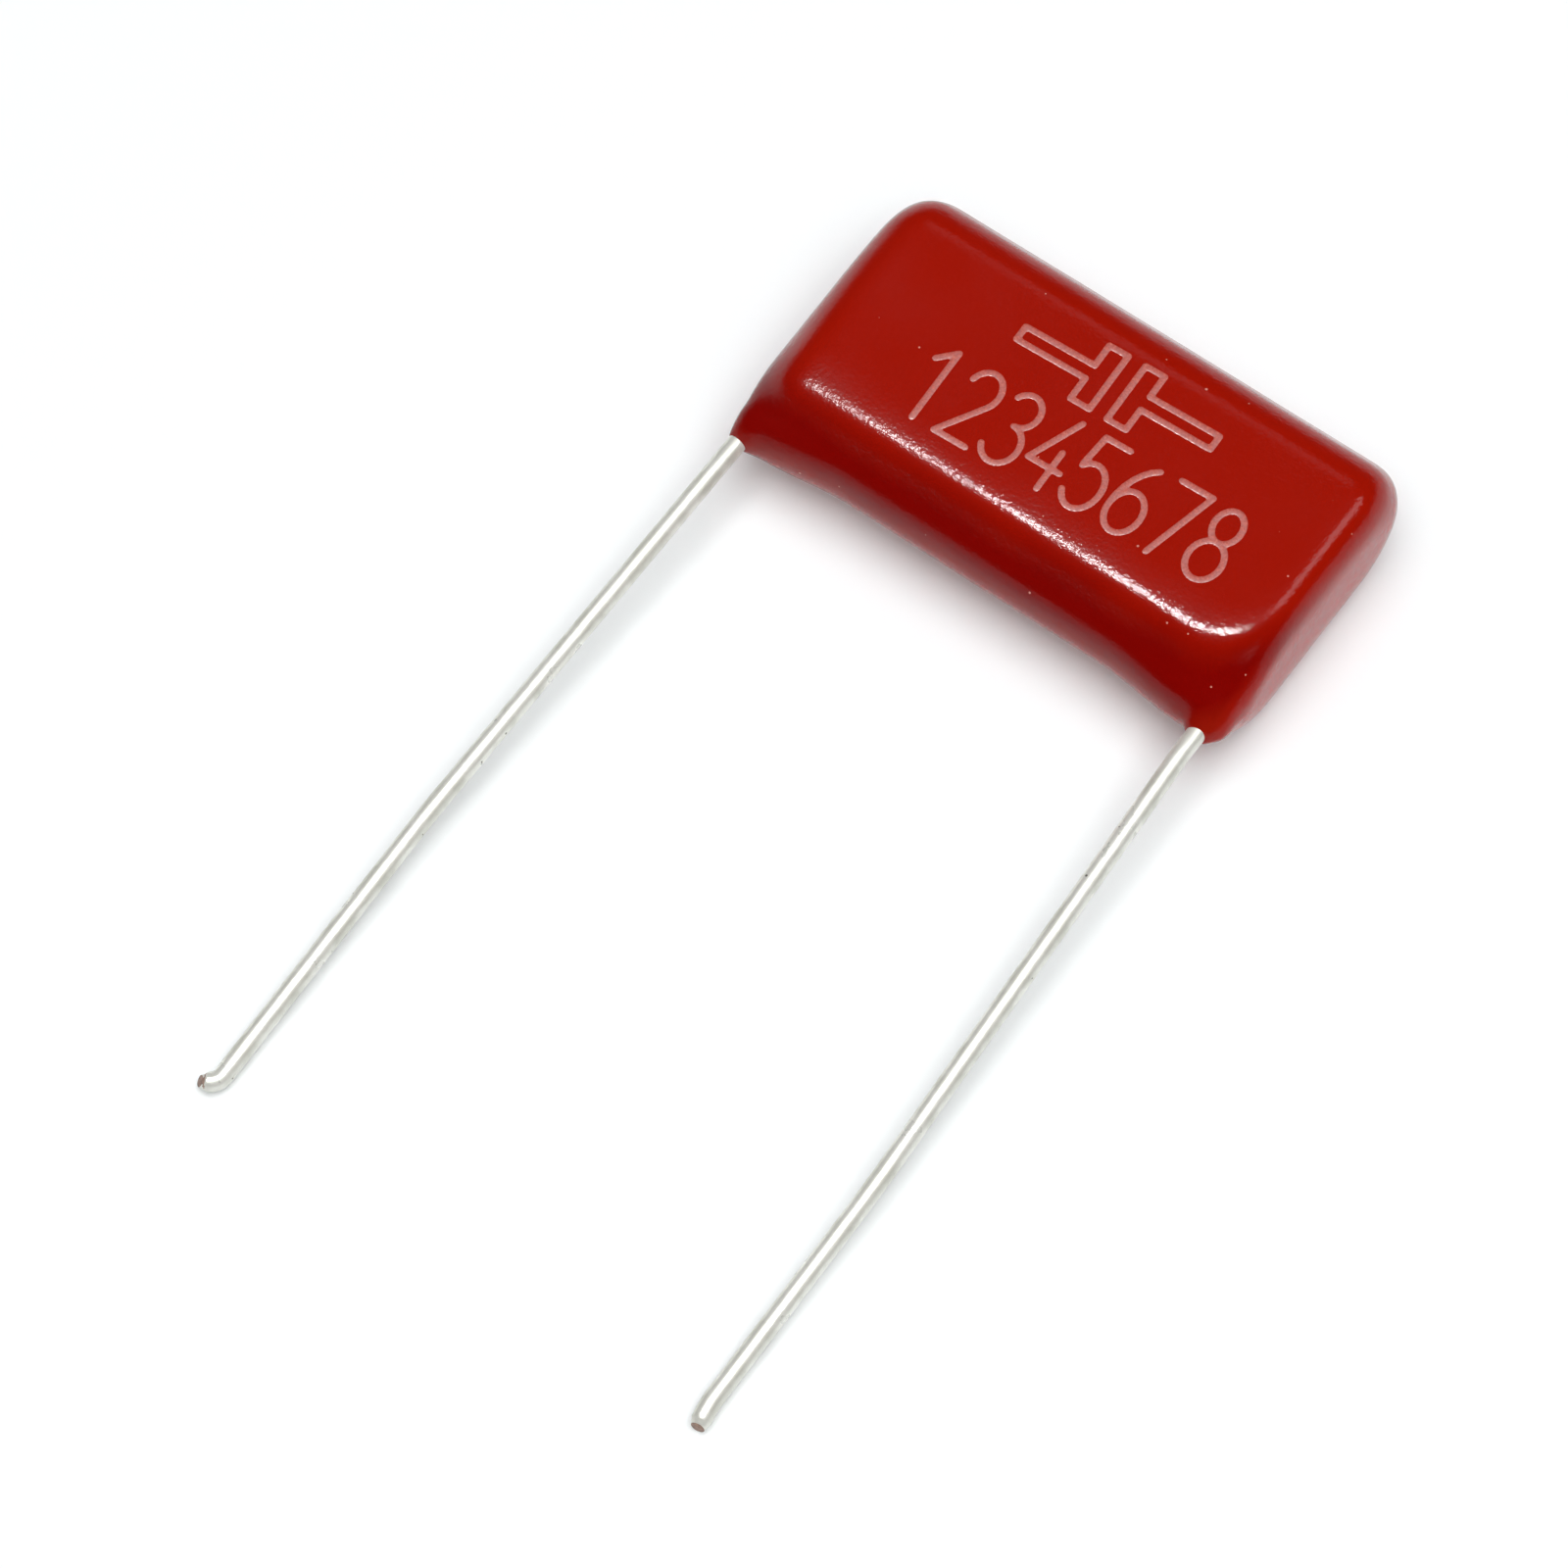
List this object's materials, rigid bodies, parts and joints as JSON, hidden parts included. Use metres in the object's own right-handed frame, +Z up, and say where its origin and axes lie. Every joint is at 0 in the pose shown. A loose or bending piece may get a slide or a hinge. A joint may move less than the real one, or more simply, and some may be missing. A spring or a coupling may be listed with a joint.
{
  "type": "polyester film capacitor",
  "caption": "Flat oval film capacitor, dipped in glossy red epoxy, with long parallel round wire leads for a circuit board.",
  "frame": {"origin": "on the resting plane, midway between the leads, under the middle of the coated body's height", "axes": "+X along the lead pitch, -Y the way the leads leave the body, +Z up out of the broad face that shows"},
  "size_m": [0.0167, 0.0321, 0.0043],
  "materials": {
    "red_epoxy": "glossy dipped epoxy powder coat with a fine orange-peel skin",
    "metallised_film": "wound clear polyester film with a thin silvery metal layer",
    "sprayed_zinc": "matt grainy sprayed zinc",
    "tinned_wire": "bright tin over copper-clad steel, with fine drawing marks"
  },
  "bodies": {
    "root": {"epoxy_coating": "red_epoxy", "film_winding": "metallised_film", "end_spray_left": "sprayed_zinc", "end_spray_right": "sprayed_zinc", "lead_left": "tinned_wire", "lead_right": "tinned_wire"}
  },
  "joints": []
}
